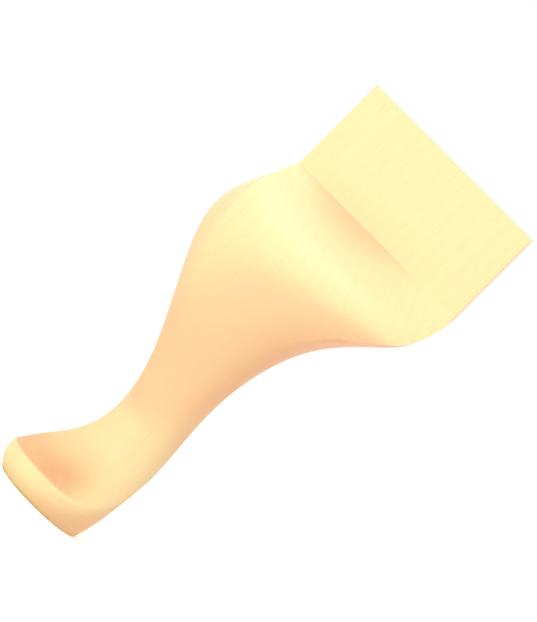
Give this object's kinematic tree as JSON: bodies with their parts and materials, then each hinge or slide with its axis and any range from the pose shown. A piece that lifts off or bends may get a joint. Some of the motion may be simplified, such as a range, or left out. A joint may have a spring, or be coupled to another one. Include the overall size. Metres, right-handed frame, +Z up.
{
  "type": "furniture leg",
  "caption": "Short cabriole furniture leg with a square mounting block, a crowned swelling knee, a slim round ankle and a scooped pad foot, carved from pale wood",
  "frame": {"origin": "middle of the flat top face of the block, where the leg meets the furniture", "axes": "+Z points up into the furniture, the leg reaches down along -Z; the knee and foot point toward the -X -Y corner, which is the outer corner of the furniture; +X and +Y are the block faces toward the rails"},
  "size_m": [0.0719, 0.0719, 0.152],
  "materials": {
    "wood": "satin"
  },
  "bodies": {
    "root": {"leg": "wood"}
  },
  "joints": []
}
